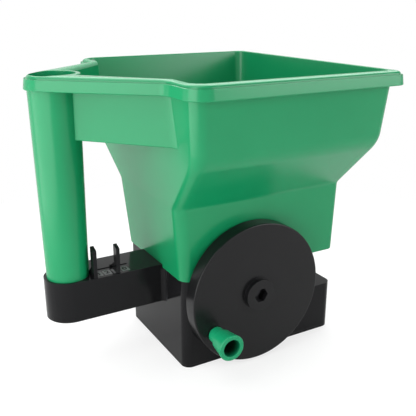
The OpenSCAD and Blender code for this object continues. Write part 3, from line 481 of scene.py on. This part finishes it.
def combine(piece, tool, operation):
    """Joins a tool to the piece or cuts it away, and removes the tool."""
    step = piece.modifiers.new("step", "BOOLEAN")
    step.operation = operation
    step.object = tool
    step.solver = "EXACT"
    mesh = final_mesh(piece)
    piece.modifiers.clear()
    piece.data = mesh
    bpy.data.objects.remove(tool)


def bin_outside():
    """Outside of the bin from its rounded foot up into the rim."""
    rings = [bin_ring(FOOT, d, BASE_H + up) for d, up in quarter(FOOT_R)]
    rings += [bin_ring(s, 0, s[HEIGHT]) for s in bin_bends() + [TOP]]
    rings.append(bin_ring(TOP, 0, BIN_TOP))
    return loft("bin_outside", rings)


def bin_inside():
    """Hollow of the bin, rounded at its floor and flared at the lip.

    Its upper walls are a little thicker at their foot.
    """
    def draft(z):
        over_crease = (z - CREASE_Z) / (SHOULDER_Z - CREASE_Z)
        under_lip = (LIP_TOP - z) / (LIP_TOP - SHOULDER_Z)
        return INSIDE_DRAFT * max(0, min(1, over_crease, under_lip))

    rings = [bin_ring(FOOT, WALL + d, BASE_H + WALL + up) for d, up in quarter(FLOOR_R)]
    rings += [bin_ring(s, WALL + draft(s[HEIGHT]), s[HEIGHT] + INSIDE_RISE) for s in bin_bends()]
    rings += [bin_ring(upper_section(LIP_TOP), WALL - out, z) for out, z in lip_flare(LIP_R)]
    return loft("bin_inside", rings)


def neck_outside():
    """Neck between the bin and the grip tube, with hollow corners that follow the leaning rear wall."""
    def ring(inset, z):
        foot = upper_section(z)[REAR] + NECK_SINK
        p = WALL_OFF - inset
        y = wall_half_w(foot, p)
        w = y + NECK_FILLET
        return level(outline([
            (wall_x(p), 0, p, NECK_STEPS),
            (foot, -y, NECK_FILLET, NECK_STEPS),
            (foot, -w, TINY_R, TINY_STEPS),
            (NECK_END_X, -w, TINY_R, TINY_STEPS),
            (NECK_END_X, w, TINY_R, TINY_STEPS),
            (foot, w, TINY_R, TINY_STEPS),
            (foot, y, NECK_FILLET, NECK_STEPS),
        ]), z)

    rings = [ring(d, NECK_Z + up) for d, up in quarter(FOOT_R)]
    rings += [ring(0, NECK_Z + up) for up in NECK_LEVELS]
    return loft("neck_outside", rings + [ring(0, RIM_Z + PAST)])


def neck_pocket():
    """Hollow of the neck, less the wall round the tube."""
    def ring(p, z):
        x = NECK_END_X + WALL
        w = wall_half_w(x, p)
        return level(outline([
            (wall_x(p), 0, p, NECK_STEPS),
            (x, -w, NECK_POCKET_R, ROUND_STEPS),
            (x, w, NECK_POCKET_R, ROUND_STEPS),
        ]), z)

    p = WALL_OFF - WALL
    rings = [ring(p - inset, NECK_Z + WALL + up) for inset, up in quarter(NECK_FLOOR_R)]
    rings += [ring(p + out, z) for out, z in lip_flare(NECK_LIP_R)]
    pocket = loft("neck_pocket", rings)
    r = TUBE_R_TOP + WEB
    web = [(r, WEB_FOOT_Z)] + [(r - out, z) for out, z in lip_flare(WEB_LIP_R)]
    combine(pocket, lathe("web", -HANDLE_X, 0, web), "DIFFERENCE")
    return pocket


def rim():
    """Skirt that leans in towards its top edge, a groove, and a rounded lip."""
    edge_in = SKIRT_LEAN + SKIRT_EDGE_R
    profile = [(d, RIM_Z + up) for d, up in quarter(SKIRT_FOOT_R)]
    profile += [(edge_in - up, SKIRT_TOP - d) for d, up in reversed(quarter(SKIRT_EDGE_R))]
    profile += [(GROOVE_IN - GROOVE_END_W, SKIRT_TOP - GROOVE_END_H), (GROOVE_IN, SKIRT_TOP)]
    for a in quarter_turn(LIP_STEPS):
        profile.append((LIP_IN + LIP_W * (1 - math.cos(a)), LIP_TOP - LIP_H * (1 - math.sin(a))))
    return loft("rim", [level(rim_outline(d), z) for d, z in profile])


def tube_hole():
    """Mouth of the grip tube, rounded at the lip."""
    bore = TUBE_R_TOP - TUBE_WALL
    profile = [(bore, RIM_Z - PAST)] + [(bore + out, z) for out, z in lip_flare(TUBE_LIP_R)]
    return lathe("tube_hole", -HANDLE_X, 0, profile)


def tube_socket():
    """Tapered room for the top of the grip tube."""
    slope = (TUBE_R_TOP - TUBE_R_FOOT) / (RIM_Z - TUBE_FOOT_Z)
    foot_r = TUBE_R_FOOT + slope * (SOCKET_FOOT_Z - TUBE_FOOT_Z)
    profile = [(foot_r + TUBE_PLAY, SOCKET_FOOT_Z), (TUBE_R_TOP + TUBE_PLAY, RIM_Z)]
    return lathe("tube_socket", -HANDLE_X, 0, profile)


def floor_cuts():
    """Outlet, shaft hole and screw holes through the floor of the bin."""
    outlet = oblong(*OUTLET_X, -OUTLET_HALF_W, OUTLET_HALF_W, TINY_R, TINY_R, TINY_STEPS)
    cuts = [loft("outlet", [level(outlet, z) for z in FLOOR_CUT_Z])]
    holes = [(0, 0, SHAFT_HOLE_R)]
    holes += [(x, y, SCREW_HOLE_R) for x in SCREW_X for y in (-SCREW_Y, SCREW_Y)]
    return cuts + [lathe("hole", x, y, [(r, z) for z in FLOOR_CUT_Z], HOLE_STEPS) for x, y, r in holes]


def hopper_shell():
    """Bin, neck and rim in one, hollowed, pierced and shaded evenly."""
    piece = bin_outside()
    piece.name = "hopper_shell"
    for solid in (neck_outside, rim):
        combine(piece, solid(), "UNION")
    for solid in (bin_inside, neck_pocket, tube_hole, tube_socket):
        combine(piece, solid(), "DIFFERENCE")
    for cut in floor_cuts():
        combine(piece, cut, "DIFFERENCE")
    bm = bmesh.new()
    bm.from_mesh(piece.data)
    bmesh.ops.remove_doubles(bm, verts=bm.verts, dist=WELD_GAP)
    bmesh.ops.dissolve_degenerate(bm, edges=bm.edges, dist=WELD_GAP)
    bm.to_mesh(piece.data)
    bm.free()
    even_shading(piece)
    piece.data.set_sharp_from_angle(angle=SHARP_ANGLE)
    return piece


shell = hopper_shell()
dress(shell, GREEN)
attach(shell, "spreader_body")
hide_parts("hopper")


# Printed scale of the gate, in millimetres

ARM_TOP = 76.3
SCALE_X, SCALE_Y = -86.5, -11.0
SCALE_STEP = 7.0
SCALE_MARKS = 4
PATCH_X, PATCH_Y, PATCH_R = 6.2, 8.0, 0.6
PRINT_T = 0.05
FIGURE_SIZE = 7.0
FIGURE_BOLD = 0.12


def patch(mark, x):
    """Thin printed plate with rounded corners on the arm."""
    half_x, half_y = PATCH_X / 2, PATCH_Y / 2
    y0, y1 = SCALE_Y - half_y, SCALE_Y + half_y
    edge = oblong(x - half_x, x + half_x, y0, y1, PATCH_R, PATCH_R, ROUND_STEPS)
    return loft("scale_patch_%d" % mark, [level(edge, ARM_TOP), level(edge, ARM_TOP + PRINT_T)])


def figure(mark, x):
    """Solid figure on its patch that reads from the crank side."""
    curve = bpy.data.curves.new("figure", "FONT")
    curve.body = str(mark)
    curve.size = FIGURE_SIZE * MM
    curve.align_x = "CENTER"
    curve.align_y = "CENTER"
    curve.extrude = PRINT_T / 2 * MM
    curve.offset = FIGURE_BOLD * MM
    drawn = bpy.data.objects.new("figure", curve)
    scene.collection.objects.link(drawn)
    mesh = final_mesh(drawn)
    mesh.transform(Matrix.Translation(Vector((x, SCALE_Y, ARM_TOP + PRINT_T + PRINT_T / 2)) * MM))
    bpy.data.objects.remove(drawn)
    piece = bpy.data.objects.new("scale_figure_%d" % mark, mesh)
    scene.collection.objects.link(piece)
    return piece


def put_on_arm(piece, material):
    """Dresses a piece of the scale and fixes it to the body."""
    dress(piece, material)
    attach(piece, "spreader_body")


for mark in range(SCALE_MARKS):
    x = SCALE_X - SCALE_STEP * mark
    put_on_arm(patch(mark, x), PRINT)
    put_on_arm(figure(mark, x), FIGURE)


# Floor and sky: lengths in metres

WHITE = (1, 1, 1, 1)
FLOOR_HALF = 3.0
FLOOR_Z = -0.0002
FLOOR_PALE = 0.80
FLOOR_CATCH = 0.30
FLOOR_GLOW_MIRRORED, FLOOR_GLOW = 0.44, 0.72
SHADOW_REACH = (0.22, 0.45)
SKY_LIGHT = 0.40
SKY_CLIMB = (0.38, 0.50)
SKY_MIRRORED_LOW, SKY_MIRRORED_HIGH = 1.0, 0.42


def grey(value):
    return (value, value, value, 1)


def seen_rays(g):
    """1 for the rays that show the background: to the camera, in gloss and through glass."""
    path = g.add("LightPath").outputs
    shown = g.maths("MAXIMUM", path["Is Camera Ray"], path["Is Glossy Ray"])
    return g.maths("MAXIMUM", shown, path["Is Transmission Ray"])


def floor_material():
    """Pale matt floor that shows white, with the object's soft shadow near its foot."""
    m = bpy.data.materials.new("floor_white")
    g = Graph(m)
    pale = g.add("BsdfDiffuse", {"Color": grey(FLOOR_PALE)}).outputs["BSDF"]
    white = g.add("Emission", {"Color": WHITE, "Strength": 1.0}).outputs["Emission"]
    to_camera = g.add("LightPath").outputs["Is Camera Ray"]
    strength = g.ramp(to_camera, 0.0, 1.0, FLOOR_GLOW_MIRRORED, FLOOR_GLOW)
    glow = g.add("Emission", {"Color": WHITE, "Strength": strength}).outputs["Emission"]
    catch = g.add("BsdfDiffuse", {"Color": grey(FLOOR_CATCH)}).outputs["BSDF"]
    shadowed = g.add("AddShader", {0: glow, 1: catch}).outputs["Shader"]
    where = g.add("NewGeometry").outputs["Position"]
    away = g.add("VectorMath", {0: where}, operation="LENGTH").outputs["Value"]
    shown = g.mix(shadowed, white, g.ramp(away, *SHADOW_REACH))
    g.add("OutputMaterial", {"Surface": g.mix(pale, shown, seen_rays(g))})
    return m


def lay_floor():
    """Large level floor just under the object."""
    bm = bmesh.new()
    bmesh.ops.create_grid(bm, x_segments=1, y_segments=1, size=FLOOR_HALF)
    floor = new_piece("floor", bm)
    floor.location.z = FLOOR_Z
    dress(floor, floor_material())


def light_sky():
    """Even soft light that shows white to the camera and, in gloss, darker high up."""
    scene.world = scene.world or bpy.data.worlds.new("World")
    g = Graph(scene.world)

    def shine(strength):
        return g.add("Background", {"Color": WHITE, "Strength": strength}).outputs["Background"]

    way = g.add("TexCoord").outputs["Generated"]
    climb = g.add("SeparateXYZ", {"Vector": way}).outputs["Z"]
    lit = shine(SKY_LIGHT)
    mirrored = shine(g.ramp(climb, *SKY_CLIMB, SKY_MIRRORED_LOW, SKY_MIRRORED_HIGH))
    white = shine(1.0)
    ray = g.add("LightPath").outputs
    off_gloss = g.maths("MAXIMUM", ray["Is Glossy Ray"], ray["Is Transmission Ray"])
    g.add("OutputWorld", {"Surface": g.mix(g.mix(lit, mirrored, off_gloss), white, ray["Is Camera Ray"])})


scene.view_settings.view_transform = "Standard"
lay_floor()
light_sky()


# Lamps: place, aim, width and height in metres, power in watts

LAMPS = {
    "left_low": ((-0.42, -0.10, 0.11), (-0.1, -0.08, 0.11), 0.62, 0.21, 0.85),
    "left_high": ((-0.42, -0.17, 0.31), (-0.1, -0.15, 0.31), 0.30, 0.18, 0.65),
    "back": ((0.39, 0.74, 1.20), (0, 0, 0.2), 1.8, 0.9, 20.0),
    "top": ((-0.55, 0.0, 1.35), (0, 0, 0.1), 1.2, 1.2, 12.0),
    "front_right": ((0.98, -1.09, 0.62), (0, 0, 0.15), 0.9, 0.8, 9.0),
}


def area_light(name, place, aim, size_x, size_y, power):
    """Rectangular lamp that faces its aim."""
    data = bpy.data.lights.new(name, "AREA")
    data.shape = "RECTANGLE"
    data.size = size_x
    data.size_y = size_y
    data.energy = power
    lamp = bpy.data.objects.new(name, data)
    scene.collection.objects.link(lamp)
    lamp.location = place
    lamp.rotation_euler = (Vector(aim) - Vector(place)).to_track_quat("-Z", "Y").to_euler()


for name, values in LAMPS.items():
    area_light(name, *values)


# Camera at the photograph's place and angle: places in metres, lens and sensor in millimetres

CAMERA_PLACE = Vector((-0.2425, -0.4154, 0.2703))
CAMERA_AIM = Vector((-0.00977, -0.00493, 0.11045))
LENS = 53.07
SENSOR_W = 36.0
CLIP_NEAR, CLIP_FAR = 0.01, 20.0

cam_data = bpy.data.cameras.new("camera")
cam_data.sensor_fit = "HORIZONTAL"
cam_data.sensor_width = SENSOR_W
cam_data.lens = LENS
cam_data.clip_start = CLIP_NEAR
cam_data.clip_end = CLIP_FAR
camera = bpy.data.objects.new("camera", cam_data)
scene.collection.objects.link(camera)
back = (CAMERA_PLACE - CAMERA_AIM).normalized()
right = Vector((0, 0, 1)).cross(back).normalized()
turned = Matrix((right, back.cross(right), back)).transposed()
camera.matrix_world = Matrix.Translation(CAMERA_PLACE) @ turned.to_4x4()
scene.camera = camera
